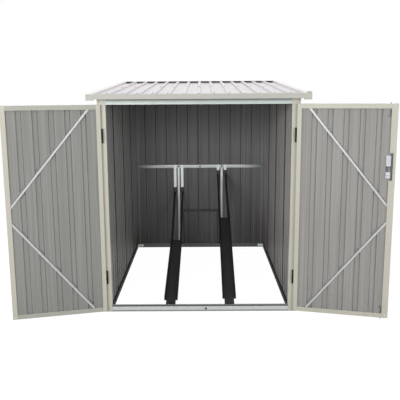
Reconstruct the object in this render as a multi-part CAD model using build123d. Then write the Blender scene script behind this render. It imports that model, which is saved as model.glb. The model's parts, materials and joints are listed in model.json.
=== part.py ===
from build123d import *
import math
import os

# Metal bicycle shelter: ribbed sheet walls and roof held in folded rails, two ribbed doors that stand
# open, and two sloping wheel ramps hung from a rail on the rear wall. Its base is open to the ground.
# Millimetres. X runs across the doorway, Y from front to rear and Z up. The origin is the middle of the
# sill's underside.

os.makedirs("parts", exist_ok=True)

# Body
opening_width = 1352
opening_height = 1577
body_depth = 1928
frame_face = 30
post_face = 62
post_depth = 34
rail_height = 45
top_rail_drop = 40
frame_metal = 1.5
seat = 0.2

# Sill and header across the doorway
sill_height = 48
sill_depth = 30
sill_step = 3
sill_band_low = 14
sill_band_high = 33
keep_slot_width = 12
keep_slot_height = 7
keep_slot_offset = 45
header_lip = 12

# Ribbed sheet
sheet_metal = 1.2
wall_rib_pitch = 112
wall_rib_foot = 42
wall_rib_crest = 30
wall_rib_height = 12
roof_rib_pitch = 110.5
roof_rib_foot = 32
roof_rib_crest = 22
roof_rib_height = 15
ribs_per_sheet = 5
sheet_inset = 9.3

# Roof
roof_width = 1610
front_overhang = 70
rear_overhang = 50
eave_height = 1634
roof_rise = 121
roof_joint_offset = 55
sheet_edge_setback = 8
side_trim_flange = 43
rear_trim_flange = 40
front_trim_flange = 22
trim_drop = 36
cap_width = 58
cap_drop = 45

# Rail on the rear wall
girt_height = 870
girt_face = 31
girt_depth = 20

# Wheel ramps: the right one stands steeper, so that two handlebars pass each other
ramp_offset = 228
ramp_length = 1200
ramp_width = 106
ramp_flange = 28
ramp_metal = 2
ramp_end_height_left = 254
ramp_end_height_right = 489
tongue_width = 75
tongue_length = 58
tongue_lap = 12
guard_leg = 22
guard_foot = 20
guard_metal = 2.5
guard_overlap = 45
hanger_width = 28
hanger_metal = 2
hook_height_left = 633
hook_height_right = 814
rack_post_face = 21

# Low tie frame on the rear wall, between the ramps
tie_spacing = 380
tie_height = 420
tie_leg = 24
tie_metal = 2
tie_foot_reach = 32
tie_foot_drop = 30

# Brackets in the rear corners of the base
bracket_leg = 55
bracket_height = 24
bracket_metal = 2

# Doors
door_bottom = 15
door_height = 1563
door_thickness = 25
door_gap = 8
meeting_gap = 6
door_metal = 1.5
hinge_stile_width = 31
free_stile_width = 35
lock_stile_width = 44
rail_width = 34
panel_recess = 8
brace_width = 22
brace_lip = 5
brace_metal = 1.2
brace_tuck = 12
brace_rail_offset = 62
brace_upper_height = 862
brace_lower_height = 738
door_open_angle = 166

# Hinges
hinge_offset = 27.5
hinge_stand_off = 18
hinge_edge_gap = 9.1
hinge_length = 104
hinge_below_top = 225
hinge_above_bottom = 266
knuckle_radius = 6
knuckle_gap = 0.5
pin_radius = 3
pin_clearance = 0.05
leaf_metal = 2
fixed_leaf_width = 20
door_leaf_width = 14

# Lock on the right door
lock_height = 1054
lock_lower_block = 48
lock_upper_block = 78
lock_gap = 38
lock_width = 32
lock_overhang = 22
lock_proud = 3
lock_corner = 3
lock_core_width = 12
lock_notch_depth = 25
lock_notch_margin = 16
bolt_radius = 3
bolt_offset = 8
bolt_length = 95
bolt_travel = 8
handle_plate_width = 34
handle_plate_length = 130
handle_plate_metal = 4
handle_neck_radius = 8
handle_reach = 30
handle_length = 100
handle_grip = 14

# Places worked out from the sizes above
half_opening = opening_width / 2
half_body = half_opening + frame_face
post_outer_x = half_opening + post_face
front_y = -sill_depth / 2
rear_y = front_y + body_depth
rear_inner_y = rear_y - frame_face
roof_front_y = front_y - front_overhang
roof_run = front_overhang + body_depth + rear_overhang
roof_angle = math.degrees(math.atan2(roof_rise, roof_run))
roof_length = math.hypot(roof_rise, roof_run)
roof_place = Pos(0, roof_front_y, eave_height) * Rot(roof_angle, 0, 0)
wall_ribs = (wall_rib_pitch, wall_rib_foot, wall_rib_crest, wall_rib_height)
roof_ribs = (roof_rib_pitch, roof_rib_foot, roof_rib_crest, roof_rib_height)
rib_top = sheet_metal + roof_rib_height
trim_level = rib_top + seat
wall_sheet_x = half_opening + sheet_inset
wall_sheet_y = rear_inner_y + sheet_inset
tall = eave_height + roof_rise
door_inner_y = front_y - door_gap
door_outer_y = door_inner_y - door_thickness
door_top = door_bottom + door_height
hinge_x = half_opening + hinge_offset
hinge_y = front_y - hinge_stand_off
door_hinge_edge = hinge_x - hinge_edge_gap
door_free_edge = meeting_gap / 2
leaf_width = door_hinge_edge - door_free_edge
panel_margin = door_metal + 4 * seat
hinge_heights = [door_bottom + hinge_above_bottom, door_top - hinge_below_top]
girt_rear_y = wall_sheet_y - seat
girt_front_y = girt_rear_y - girt_depth
hanger_back_y = girt_front_y - seat
hanger_front_y = hanger_back_y - hanger_metal
door_middle = Plane.XY.offset((door_bottom + door_top) / 2)

# Where a solid stands from its own origin
STANDING = (Align.CENTER, Align.CENTER, Align.MIN)
HANGING = (Align.CENTER, Align.CENTER, Align.MAX)
BESIDE = (Align.MIN, Align.CENTER, Align.CENTER)
IN_FRONT = (Align.CENTER, Align.MAX, Align.CENTER)
ON_BACK = (Align.CENTER, Align.MIN, Align.MIN)

pieces = {}


def folded(points, thickness):
    """A face of even thickness to the left of a bent line, or to its right if the thickness is negative."""
    corners = [Vector(*point) for point in points]
    runs = [(after - before).normalized() for before, after in zip(corners, corners[1:])]
    normals = [Vector(-run.Y, run.X) for run in runs]
    inside = [corners[0] + normals[0] * thickness]
    for corner, before, after in zip(corners[1:-1], normals, normals[1:]):
        inside.append(corner + (before + after) * (thickness / (1 + before.dot(after))))
    inside.append(corners[-1] + normals[-1] * thickness)
    return make_face(Polyline(*corners, *reversed(inside), close=True))


def tray_points(start, end, bottom, lip):
    """The bent line of a tray: up or down from its lip, along its bottom and back to its lip."""
    return [(start, lip), (start, bottom), (end, bottom), (end, lip)]


def across(section, length):
    """Runs a section drawn in Y and Z along X, centred."""
    return extrude(Plane.YZ * section, amount=length / 2, both=True)


def upright(section, bottom, top):
    """Runs a section drawn in X and Y up along Z."""
    return Pos(0, 0, bottom) * extrude(section, amount=top - bottom)


def lengthways(section, start, end):
    """Runs a section drawn in X and Z back along Y."""
    return Pos(0, start, 0) * extrude(Plane.XZ * section, amount=start - end)


def both_sides(right_part):
    """A part and its mirror image, as one node."""
    return right_part + mirror(right_part, about=Plane.YZ)


def store_sides(name, right_part):
    """Stores a part under its right-hand name and its mirror image under the left-hand one."""
    pieces[f"{name}_right"] = right_part
    pieces[f"{name}_left"] = mirror(right_part, about=Plane.YZ)


def ribbed_section(width, ribs):
    """Outline of a flat sheet with raised ribs about a middle one, its flat lower face on X."""
    pitch, foot, crest, height = ribs
    ribs_beside = int((width - foot) / 2 // pitch)
    lower = [(-width / 2, 0)]
    for index in range(-ribs_beside, ribs_beside + 1):
        middle = index * pitch
        lower += [
            (middle - foot / 2, 0),
            (middle - crest / 2, height),
            (middle + crest / 2, height),
            (middle + foot / 2, 0),
        ]
    lower.append((width / 2, 0))
    upper = [(x, y + sheet_metal) for x, y in reversed(lower)]
    return make_face(Polyline(*lower, *upper, close=True))


def below_roof(part, gap=seat):
    """Cuts a part off under the roof's sloping underside."""
    reach = 2 * (roof_run + roof_width)
    over = Pos(0, 0, -gap) * Box(reach, reach, reach, align=(Align.CENTER, Align.CENTER, Align.MIN))
    return part - roof_place * over


def parted(part, joints):
    """Parts a sheet at some places along X, a seat apart."""
    reach = 4 * (body_depth + tall)
    for x in joints:
        part -= Pos(x, 0, 0) * Box(seat, reach, reach)
    return part


def base_frame():
    channel = folded(tray_points(half_body, half_opening, 0, rail_height), -frame_metal)
    side_rail = lengthways(channel, front_y + post_depth + seat, rear_inner_y - seat)
    pieces["base_side_rails"] = both_sides(side_rail)

    channel = folded(tray_points(rear_inner_y, rear_y, 0, rail_height), frame_metal)
    pieces["base_rear_rail"] = across(channel, opening_width - 2 * seat)

    corner_x = half_opening - seat
    corner_y = rear_inner_y - seat
    bend = [(corner_x - bracket_leg, corner_y), (corner_x, corner_y), (corner_x, corner_y - bracket_leg)]
    low = (rail_height - bracket_height) / 2
    bracket = upright(folded(bend, -bracket_metal), low, low + bracket_height)
    pieces["base_corner_brackets"] = both_sides(bracket)


def doorway():
    steps = [
        (sill_depth / 2, 0),
        (front_y + sill_step, 0),
        (front_y + sill_step, sill_band_low),
        (front_y, sill_band_low),
        (front_y, sill_band_high),
        (front_y + sill_step, sill_band_high),
        (front_y + sill_step, sill_height),
        (sill_depth / 2, sill_height),
    ]
    outer = make_face(Polyline(*steps, close=True))
    hollow = offset(outer, amount=-frame_metal, kind=Kind.INTERSECTION)
    sill = across(outer - hollow, opening_width - 2 * seat)
    slot_z = (sill_band_low + sill_band_high) / 2
    slot = Pos(keep_slot_offset, front_y, slot_z) * Box(keep_slot_width, 4 * frame_metal, keep_slot_height)
    pieces["front_sill"] = sill - slot

    face = [
        (front_y + sill_depth, opening_height + header_lip),
        (front_y + sill_depth, opening_height),
        (front_y, opening_height),
        (front_y, tall),
    ]
    pieces["header_rail"] = below_roof(across(folded(face, -frame_metal), opening_width - 2 * seat))

    jamb = [
        (half_opening, front_y + post_depth),
        (half_opening, front_y),
        (post_outer_x, front_y),
        (post_outer_x, front_y + post_depth),
        (half_body, front_y + post_depth),
    ]
    store_sides("front_post", below_roof(upright(folded(jamb, frame_metal), 0, tall)))


def walls():
    sheet_bottom = frame_metal + seat
    sheet_top_gap = frame_metal + 3 * seat
    start_y = front_y + frame_metal + seat
    end_y = wall_sheet_y - seat
    lap = -wall_rib_foot / 2
    sheet_cover = ribs_per_sheet * wall_rib_pitch
    side = upright(ribbed_section(end_y - start_y, wall_ribs), sheet_bottom, tall)
    side = parted(side, [lap - sheet_cover, lap, lap + sheet_cover])
    side = Pos(wall_sheet_x, (start_y + end_y) / 2, 0) * Rot(0, 0, -90) * side
    store_sides("side_wall", below_roof(side, sheet_top_gap))

    rear = upright(ribbed_section(2 * wall_sheet_x, wall_ribs), sheet_bottom, tall)
    rear = below_roof(Pos(0, wall_sheet_y, 0) * parted(rear, [lap]), sheet_top_gap)
    pieces["rear_wall_left"], pieces["rear_wall_right"] = rear.solids().sort_by(Axis.X)

    corner = folded([(half_body, rear_inner_y), (half_body, rear_y), (half_opening, rear_y)], frame_metal)
    pieces["rear_corner_posts"] = both_sides(below_roof(upright(corner, 0, tall)))


def top_rails():
    channel = folded(tray_points(half_opening, half_body, -seat, -seat - top_rail_drop), -frame_metal)
    start = (front_overhang + post_depth + 2 * seat) * roof_length / roof_run
    lean = top_rail_drop * roof_rise / roof_run
    end = (roof_run - rear_overhang - frame_face - 2 * seat - lean) * roof_length / roof_run
    pieces["top_side_rails"] = both_sides(roof_place * lengthways(channel, start, end))

    def underside(y):
        return eave_height + (y - roof_front_y) * roof_rise / roof_run - seat

    cap = [
        (rear_inner_y, underside(rear_inner_y) - top_rail_drop),
        (rear_inner_y, underside(rear_inner_y)),
        (rear_y, underside(rear_y)),
        (rear_y, underside(rear_y) - top_rail_drop),
    ]
    pieces["top_rear_rail"] = across(folded(cap, -frame_metal), opening_width - 2 * seat)


def roof():
    width = roof_width - 2 * sheet_edge_setback
    sheet = lengthways(ribbed_section(width, roof_ribs), sheet_edge_setback, roof_length - sheet_edge_setback)
    left, right = parted(sheet, [roof_joint_offset]).solids().sort_by(Axis.X)
    pieces["roof_sheet_left"] = roof_place * left
    pieces["roof_sheet_right"] = roof_place * right

    edge = roof_width / 2
    lip = edge - side_trim_flange
    level = trim_level + frame_metal
    side = folded([(lip, level), (edge, level), (edge, level - trim_drop)], -frame_metal)
    store_sides("roof_trim", roof_place * lengthways(side, 0, roof_length))

    inner_width = 2 * (lip - seat)
    front = folded([(front_trim_flange, level), (0, level), (0, level - trim_drop)], frame_metal)
    pieces["front_fascia"] = roof_place * across(front, inner_width)

    end = roof_length
    rear = folded([(end - rear_trim_flange, level), (end, level), (end, level - trim_drop)], -frame_metal)
    pieces["roof_trim_rear"] = roof_place * across(rear, inner_width)

    cap = Box(cap_width, frame_metal, cap_drop, align=(Align.MAX, Align.MAX, Align.MAX))
    front_cap = roof_place * Pos(edge, -seat, level) * cap
    rear_cap = roof_place * Pos(edge, end + seat + frame_metal, level) * cap
    pieces["roof_end_caps"] = both_sides(front_cap + rear_cap)


def rear_rack_frame():
    girt = [
        (girt_rear_y, girt_height + girt_face),
        (girt_front_y, girt_height + girt_face),
        (girt_front_y, girt_height),
        (girt_rear_y, girt_height),
    ]
    pieces["rear_girt"] = across(folded(girt, frame_metal), 2 * (wall_sheet_x - seat))

    half = rack_post_face / 2
    stud = folded(tray_points(-half, half, girt_front_y, girt_rear_y), frame_metal)
    post = Pos(ramp_offset, 0, 0) * upright(stud, rail_height + seat, girt_height - seat)
    pieces["rack_posts"] = both_sides(post)

    back = girt_front_y - seat
    front = back - tie_leg
    leg_x = (tie_spacing - tie_leg) / 2
    angle = folded([(leg_x + tie_leg, back), (leg_x, back), (leg_x, front)], tie_metal)
    leg_bottom = rail_height + tie_metal + seat
    leg = upright(angle, leg_bottom, tie_height - tie_leg - seat)
    bar = folded([(back, tie_height - tie_leg), (back, tie_height), (front, tie_height)], tie_metal)
    pieces["tie_frame"] = across(bar, tie_spacing + tie_leg) + both_sides(leg)

    rail_face = rear_inner_y - seat
    low = leg_bottom - seat
    bend = [(rail_face - tie_foot_reach, low), (rail_face, low), (rail_face, low - tie_foot_drop)]
    foot = Pos(tie_spacing / 2, 0, 0) * across(folded(bend, -tie_metal), tie_leg)
    pieces["tie_feet"] = both_sides(foot)


def ramp(end_height, hook_height):
    """One wheel ramp about X = 0: its plate, its two guard bars and its two hangers."""
    root_y = sill_depth / 2
    root_z = sill_height + seat
    angle = math.asin((end_height - root_z) / ramp_length)

    bend = (root_y, root_z)
    tip = (root_y - tongue_lap, root_z)
    reach = tongue_length + ramp_metal
    end = (root_y + reach * math.cos(angle), root_z + reach * math.sin(angle))
    tongue = across(folded([tip, bend, end], ramp_metal), tongue_width)
    half = ramp_width / 2
    channel = folded(tray_points(-half, half, 0, ramp_flange), ramp_metal)
    slope = Pos(0, root_y, root_z) * Rot(math.degrees(angle), 0, 0)
    plate = tongue + slope * lengthways(channel, tongue_length, ramp_length)

    along = ramp_length - guard_overlap
    lift = ramp_metal + 2 * seat
    start_y = root_y + along * math.cos(angle) - lift * math.sin(angle)
    start_z = root_z + along * math.sin(angle) + lift * math.cos(angle)
    rise = hook_height - guard_leg - start_z
    run = hanger_front_y - start_y
    guard_angle = math.degrees(math.atan2(rise, run))
    outer = half - ramp_metal - seat
    leg = folded([(outer, guard_leg), (outer, 0), (outer - guard_foot, 0)], -guard_metal)
    bar = lengthways(leg, 0, 2 * math.hypot(rise, run))
    bar = Pos(0, start_y, start_z) * Rot(guard_angle, 0, 0) * bar
    wall_side = Box(2 * ramp_width, 8 * run, 8 * tall, align=(Align.CENTER, Align.MIN, Align.CENTER))
    bar -= Pos(0, hanger_front_y - seat, 0) * wall_side

    hook_z = girt_height + girt_face + seat
    bend = [(hanger_back_y, hook_height - guard_leg), (hanger_back_y, hook_z), (girt_rear_y, hook_z)]
    strip = Pos(outer - hanger_width / 2, 0, 0) * across(folded(bend, hanger_metal), hanger_width)
    return plate, both_sides(bar), both_sides(strip)


def ramps():
    left = Pos(-ramp_offset, 0, 0)
    right = Pos(ramp_offset, 0, 0)
    left_plate, left_guards, left_hangers = ramp(ramp_end_height_left, hook_height_left)
    right_plate, right_guards, right_hangers = ramp(ramp_end_height_right, hook_height_right)
    pieces["bike_ramp_left"] = left * left_plate
    pieces["bike_ramp_right"] = right * right_plate
    pieces["ramp_guards"] = left * left_guards + right * right_guards
    pieces["ramp_hangers"] = left * left_hangers + right * right_hangers


def at_hinges(part):
    """One part at each hinge of the right-hand door."""
    low, high = hinge_heights
    return Pos(hinge_x, hinge_y, low) * part + Pos(hinge_x, hinge_y, high) * part


def fixed_hinge():
    """The post's half of a right-hand hinge, with the pin, about an axis at the origin."""
    knuckle_length = hinge_length / 3
    face_y = hinge_stand_off - seat
    plate = Box(fixed_leaf_width, leaf_metal, hinge_length, align=(Align.MAX, Align.MAX, Align.CENTER))
    half = Pos(leaf_metal / 2, face_y, 0) * plate + Cylinder(pin_radius, hinge_length)
    for middle in [-knuckle_length, knuckle_length]:
        web = Box(leaf_metal, face_y, knuckle_length, align=(Align.CENTER, Align.MIN, Align.CENTER))
        half += Pos(0, 0, middle) * (Cylinder(knuckle_radius, knuckle_length) + web)
    return half


def door_hinge():
    """The door's half of a right-hand hinge, in the closed position, about an axis at the origin."""
    knuckle_length = hinge_length / 3 - 2 * knuckle_gap
    edge_x = seat - hinge_edge_gap
    plate = Box(leaf_metal, door_leaf_width, hinge_length, align=(Align.MIN, Align.MAX, Align.CENTER))
    web = Box(-edge_x, leaf_metal, knuckle_length, align=(Align.MAX, Align.CENTER, Align.CENTER))
    half = Cylinder(knuckle_radius, knuckle_length) + web
    half -= Cylinder(pin_radius + pin_clearance, knuckle_length)
    return half + Pos(edge_x, 0, 0) * plate


def door(side):
    """One door leaf, built closed as the right-hand leaf, mirrored if need be and swung open."""
    name = "left" if side < 0 else "right"
    free_width = lock_stile_width if side > 0 else free_stile_width
    inner_left = door_free_edge + free_width
    inner_right = door_hinge_edge - hinge_stile_width
    back = door_inner_y
    front = door_outer_y
    leaf = {}

    channel = [(inner_right, front), (door_hinge_edge, front), (door_hinge_edge, back), (inner_right, back)]
    leaf["hinge_stile"] = upright(folded(channel, door_metal), door_bottom, door_top)
    channel = [(inner_left, front), (door_free_edge, front), (door_free_edge, back), (inner_left, back)]
    leaf["free_stile"] = upright(folded(channel, -door_metal), door_bottom, door_top)

    tray = folded(tray_points(front, back, door_bottom, door_bottom + rail_width), door_metal)
    rail = Pos((inner_left + inner_right) / 2, 0, 0) * across(tray, inner_right - inner_left - 2 * seat)
    leaf["rails"] = rail + mirror(rail, about=door_middle)

    panel_y = back - door_metal - panel_recess
    section = ribbed_section(leaf_width - 2 * panel_margin, wall_ribs)
    panel = upright(section, door_bottom + panel_margin, door_top - panel_margin)
    leaf["panel"] = Pos((door_hinge_edge + door_free_edge) / 2, panel_y, 0) * Rot(0, 0, 180) * panel

    frame_low = door_bottom + rail_width
    frame_high = door_top - rail_width
    reach_x = inner_right - inner_left + 2 * brace_tuck
    reach_z = frame_high - frame_low + 2 * brace_tuck
    window = Box(reach_x, 2 * door_thickness, reach_z)
    window = Pos((inner_left + inner_right) / 2, back, (frame_low + frame_high) / 2) * window
    tip_y = back - door_metal - seat
    half = brace_width / 2
    tray = [(tip_y, -half), (tip_y - brace_lip, -half), (tip_y - brace_lip, half), (tip_y, half)]
    brace_section = folded(tray, -brace_metal)
    strips = []
    for height, corner in [(brace_upper_height, frame_high), (brace_lower_height, frame_low)]:
        rise = corner - height
        run = inner_right - brace_rail_offset - inner_left
        tilt = -math.degrees(math.atan2(rise, run))
        strip = across(brace_section, 2 * math.hypot(rise, run))
        middle_x = inner_left + run / 2
        strips.append(Pos(middle_x, 0, height + rise / 2) * Rot(0, tilt, 0) * strip & window)
    leaf["braces"] = strips[0] + strips[1]
    leaf["hinges"] = at_hinges(door_hinge())

    if side > 0:
        fit_lock(leaf)

    for part_name, part in leaf.items():
        if side < 0:
            part = mirror(part, about=Plane.YZ)
        pieces[f"door_{name}_{part_name}"] = swing(part, side)


def swing(part, side):
    """Turns a closed leaf's part about its hinge to the open rest position."""
    axis = Pos(side * hinge_x, hinge_y, 0)
    return axis * Rot(0, 0, side * door_open_angle) * axis.inverse() * part


def fit_lock(leaf):
    """Adds the lock, its two bolts and the handle to the closed right leaf, and cuts their places."""
    stile_edge = door_free_edge + lock_stile_width
    lock_top = lock_height + lock_lower_block + lock_gap + lock_upper_block
    middle_z = (lock_height + lock_top) / 2
    notch_length = lock_top - lock_height + 2 * lock_notch_margin
    notch = Box(2 * lock_notch_depth, 2 * (door_metal + seat), notch_length)
    leaf["free_stile"] -= Pos(stile_edge, door_inner_y, middle_z) * notch

    case_back = door_inner_y - door_metal - panel_recess + seat
    case_depth = door_inner_y + lock_proud - case_back
    case_x = stile_edge + lock_overhang - lock_width / 2
    core = Box(lock_core_width, case_depth / 2, lock_top - lock_height, align=ON_BACK)
    case = Pos((lock_width - lock_core_width) / 2, 0, 0) * core
    for bottom, height in [(0, lock_lower_block), (lock_lower_block + lock_gap, lock_upper_block)]:
        block = Box(lock_width, case_depth, height, align=ON_BACK)
        block = fillet(block.edges().filter_by(Axis.Y), lock_corner)
        case += Pos(0, 0, bottom) * block
    leaf["lock_case"] = Pos(case_x, case_back, lock_height) * case

    bolt_x = stile_edge + bolt_offset
    bolt_y = door_inner_y - door_metal - panel_recess / 2
    bolt = Cylinder(bolt_radius, bolt_length, align=HANGING)
    bolt = Pos(bolt_x, bolt_y, door_top + bolt_travel) * bolt
    leaf["bolts"] = bolt + mirror(bolt, about=door_middle)
    leaf["rails"] -= Pos(bolt_x, bolt_y, door_bottom) * Cylinder(bolt_radius + seat, 2 * door_height)

    plate = Box(handle_plate_width, handle_plate_metal, handle_plate_length, align=IN_FRONT)
    plate = fillet(plate.edges().filter_by(Axis.Y), handle_plate_width / 3)
    neck = Rot(90, 0, 0) * Cylinder(handle_neck_radius, handle_reach, align=STANDING)
    grip = Box(handle_length, handle_grip, handle_grip, align=BESIDE)
    grip = Pos(-handle_grip / 2, -handle_reach, 0) * fillet(grip.edges(), handle_grip / 4)
    place = Pos(door_free_edge + lock_stile_width / 2, door_outer_y - seat, middle_z)
    leaf["handle"] = place * (plate + neck + grip)


def frame_hinges():
    pieces["frame_hinges"] = both_sides(at_hinges(fixed_hinge()))


base_frame()
doorway()
walls()
top_rails()
roof()
rear_rack_frame()
ramps()
frame_hinges()
door(-1)
door(1)

for name, part in pieces.items():
    export_step(part, f"parts/{name}.step")
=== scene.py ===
import functools
import json
import math
import random

import bmesh
import bpy
from mathutils import Matrix, Vector


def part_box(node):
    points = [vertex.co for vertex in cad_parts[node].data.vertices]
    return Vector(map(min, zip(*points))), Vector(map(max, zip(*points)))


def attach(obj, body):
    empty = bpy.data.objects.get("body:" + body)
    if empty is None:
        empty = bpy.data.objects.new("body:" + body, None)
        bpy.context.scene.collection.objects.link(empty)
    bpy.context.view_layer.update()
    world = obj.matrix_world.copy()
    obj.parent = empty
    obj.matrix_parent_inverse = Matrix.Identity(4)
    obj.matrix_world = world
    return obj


# Looks of a metal bicycle shelter: coated ribbed sheet, painted strips, dark wheel ramps and zinc hardware.
# Metres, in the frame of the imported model: X across the doorway, Y to the rear, Z up.

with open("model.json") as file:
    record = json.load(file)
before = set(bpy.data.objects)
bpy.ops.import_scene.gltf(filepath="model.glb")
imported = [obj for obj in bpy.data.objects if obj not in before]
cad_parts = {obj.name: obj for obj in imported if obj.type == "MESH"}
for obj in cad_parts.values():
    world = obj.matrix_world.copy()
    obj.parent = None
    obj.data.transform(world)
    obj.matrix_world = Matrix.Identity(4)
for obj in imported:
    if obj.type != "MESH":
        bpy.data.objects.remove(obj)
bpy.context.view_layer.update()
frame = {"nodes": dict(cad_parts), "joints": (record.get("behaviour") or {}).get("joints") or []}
nodes = frame["nodes"]
chance = random.Random(11)

SIDES = {"left": -1, "right": 1}
ACROSS = (1.0, 0.0, 0.0)
REARWARD = (0.0, 1.0, 0.0)
FORWARD = (0.0, -1.0, 0.0)
UP = (0.0, 0.0, 1.0)
DOWN = (0.0, 0.0, -1.0)

# The camera, as it was fitted to the photograph: angles in radians, lens and sensor in millimetres
CAMERA_PLACE = (0.0213, -4.320, 1.6724)
CAMERA_YAW = -0.0039
CAMERA_PITCH = 0.1836
CAMERA_ROLL = -0.0061
CAMERA_LENS = 52.94
SENSOR_WIDTH = 36

# Colours, as linear values
CREAM_PAINT = (0.565, 0.550, 0.465)
CREAM_SHEET = (0.600, 0.580, 0.500)
REAR_BACKING = (0.325, 0.320, 0.330)
# Copies of one grey backing coat, lighter on the side walls and the right door than on the rear wall and the
# left door: painted light and shade
WALL_BACKINGS_LIT_AND_SHADED = {"left": (0.490, 0.488, 0.478), "right": (0.672, 0.636, 0.624)}
DOOR_BACKINGS_LIT_AND_SHADED = {"left": (0.320, 0.322, 0.304), "right": (0.382, 0.374, 0.356)}
ROOF_COAT = (0.690, 0.650, 0.680)
TRIM_COAT = (0.800, 0.780, 0.760)
# Cream paint darkened for the inward faces of the left door's rails: painted shade
CREAM_IN_PAINTED_SHADE = (0.430, 0.430, 0.378)
FASCIA_PAINT = (0.510, 0.500, 0.452)
SOIL = (0.150, 0.130, 0.105)
# The dark of painted shade on the ribs' flanks, under the rear roof trim and along the laps
FOLD_SHADE = (0.055, 0.050, 0.056)
BRIGHT_ZINC = (0.640, 0.670, 0.655)
HEADER_ZINC = (0.545, 0.610, 0.580)
BRACE_ZINC = (0.560, 0.565, 0.555)
# Dull zinc: the tie feet's own tone, and the dark of painted shade on zinc parts
DULL_ZINC = (0.075, 0.082, 0.078)
# Near black for the side rails' inner faces: painted shade
SIDE_RAIL_SHADE = (0.022, 0.023, 0.021)
OUTER_ZINC = (0.420, 0.435, 0.425)
DARK_COAT = (0.034, 0.034, 0.034)
COAT_DUST = (0.075, 0.071, 0.066)
PLATING = (0.470, 0.480, 0.500)
DULL_PLATING = (0.160, 0.155, 0.155)
HINGE_BLACK = (0.006, 0.006, 0.003)
HINGE_WEAR = (0.020, 0.018, 0.010)
# The dark of the painted shade inside the walls and on the roof's flats before its rear trim
PAINTED_SHADE_TONE = (0.050, 0.048, 0.040)
WASHER_RUBBER = (0.030, 0.029, 0.030)
# The dark of a sheet in the lock's notch that stands for shade
LOCK_SHADE_SHEET_COAT = (0.105, 0.104, 0.100)
PALE_FLOOR = (0.16, 0.16, 0.16)
SEEN_FLOOR = (0.06, 0.06, 0.06)
WHITE = (1.0, 1.0, 1.0)

# Strengths of the sky's light and of the white that the floor shows to the camera
SKY_LIGHT = 0.50
FLOOR_GLOW = 0.985

# Lamps: name, place, target, size and power
LAMPS = (
    ("key_light", (-2.2, -5.4, 2.1), (0, 0.8, 0.9), (3.0, 1.8), 160),
    ("fill_light", (2.9, -5.2, 2.0), (0, 0.6, 0.9), (2.8, 2.2), 98),
    ("top_light", (0, 1.0, 5.2), (0, 1.0, 0), (3.5, 3.5), 78),
    ("rear_left_light", (-4.2, 5.4, 2.4), (0, 1.2, 0.8), (2.4, 2.0), 95),
    ("rear_right_light", (4.2, 5.4, 2.4), (0, 1.2, 0.8), (2.4, 2.0), 75),
)

# Ribs of the sheets: pitch, width at the foot and width at the crest
WALL_RIBS = (0.112, 0.042, 0.030)
ROOF_RIBS = (0.1105, 0.032, 0.022)
WALL_RIB_HEIGHT = 0.012

# How many ribs have screws on each side of the roof's middle one, and how many flats in a side and rear wall
ROOF_RIBS_BESIDE = 6
SIDE_FLATS = 16
REAR_FLATS = 12

# Painted shade on the ribs' flanks: inside, against a direction and along it, and outside; below zero, a
# painted highlight instead
ROOF_FOLDS = (0.3, 0.3, 0.2)
REAR_FOLDS = (-0.26, 1.0, 0.3)
SIDE_FOLDS = (0.45, 0.3, 0.3)
DOOR_FOLDS = {"left": (-0.10, 0.25, 0.3), "right": (0.10, 0.05, 0.3)}

# Laps of the sheets: their places from a wall's middle, what a sheet covers, and how far painted shade widens
# a lap's dark line inside
REAR_LAP = -0.021
SIDE_LAP = 0.018
SHEET_COVER = 0.560
LAP_SHADE = 0.016

# Edges of the frame that the fasteners go by
post_low, post_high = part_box("front_post_right")
rail_low, rail_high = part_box("base_rear_rail")
OPENING_EDGE = post_low.x
POST_EDGE = post_high.x
FRAME_FRONT = post_low.y
BODY_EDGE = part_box("base_side_rails")[1].x
REAR_INNER = rail_low.y
REAR_FACE = rail_high.y

# The roof's slope, and heights above it
ROOF_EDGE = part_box("roof_trim_right")[1].x
ROOF_START = (0, -0.085, 1.634)
ROOF_RISE = 0.121
ROOF_RUN = 2.048
ROOF_LENGTH = math.hypot(ROOF_RUN, ROOF_RISE)
ROOF = Matrix.Translation(ROOF_START) @ Matrix.Rotation(math.atan2(ROOF_RISE, ROOF_RUN), 4, "X")
CREST_LEVEL = 0.0162
TRIM_LEVEL = 0.0179
TOP_RAIL_LEVEL = -0.021
ROOF_MIDDLE_HEIGHT = 1.70
TRIM_FOLD_PLACE = (ROOF_EDGE - 0.020, 0.006, 0.0245)
TRIM_FOLD_SIZE = (0.038, 0.014, 0.0135)

# The rack, with slopes in radians
RAMP_OFFSET = 0.228
RAMP_ROOT = (0.015, 0.0482)
RAMP_SLOPES = {"left": 0.1724, "right": 0.3763}
RAMP_EDGE = 0.053
HOOK_HEIGHTS = {"left": 0.633, "right": 0.814}
HANGER_FACE = 1.8699
HANGER_OFFSET = 0.0368
HOOK_BOLT_RISE = 0.006
GUARD_CLIP = (0.030, 0.003, 0.054)
GUARD_CLIP_RISE = 0.004
BRACKET_METAL = 0.0022
BRACKET_BOLT = (0.036, 0.0225)

# Places on a closed door on the right; the left door mirrors them
DOOR_INNER = -0.023
DOOR_OUTER = -0.048
DOOR_LOW = 0.015
DOOR_HIGH = 1.578
HINGE_EDGE = 0.6944
FREE_EDGE = 0.003
HINGE_STILE = 0.031
FREE_STILES = {"left": 0.035, "right": 0.044}
DOOR_RAIL = 0.034
HINGE_HEIGHTS = (0.281, 1.353)
BRACE_OFFSET = 0.062
BRACE_FEET = (0.862, 0.738)
BRACE_MIDDLE = 0.8
BRACE_FACE = -0.0285
LOCK_MIDDLE = 1.136
LOCK_BLOCKS = ((1.054, 1.102), (1.140, 1.218))
LOCK_PLACE = 0.053
LOCK_FACE = DOOR_INNER + 0.003
HANDLE_PLACE = FREE_EDGE + 0.022
HANDLE_FACE = DOOR_OUTER - 0.0042
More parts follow.
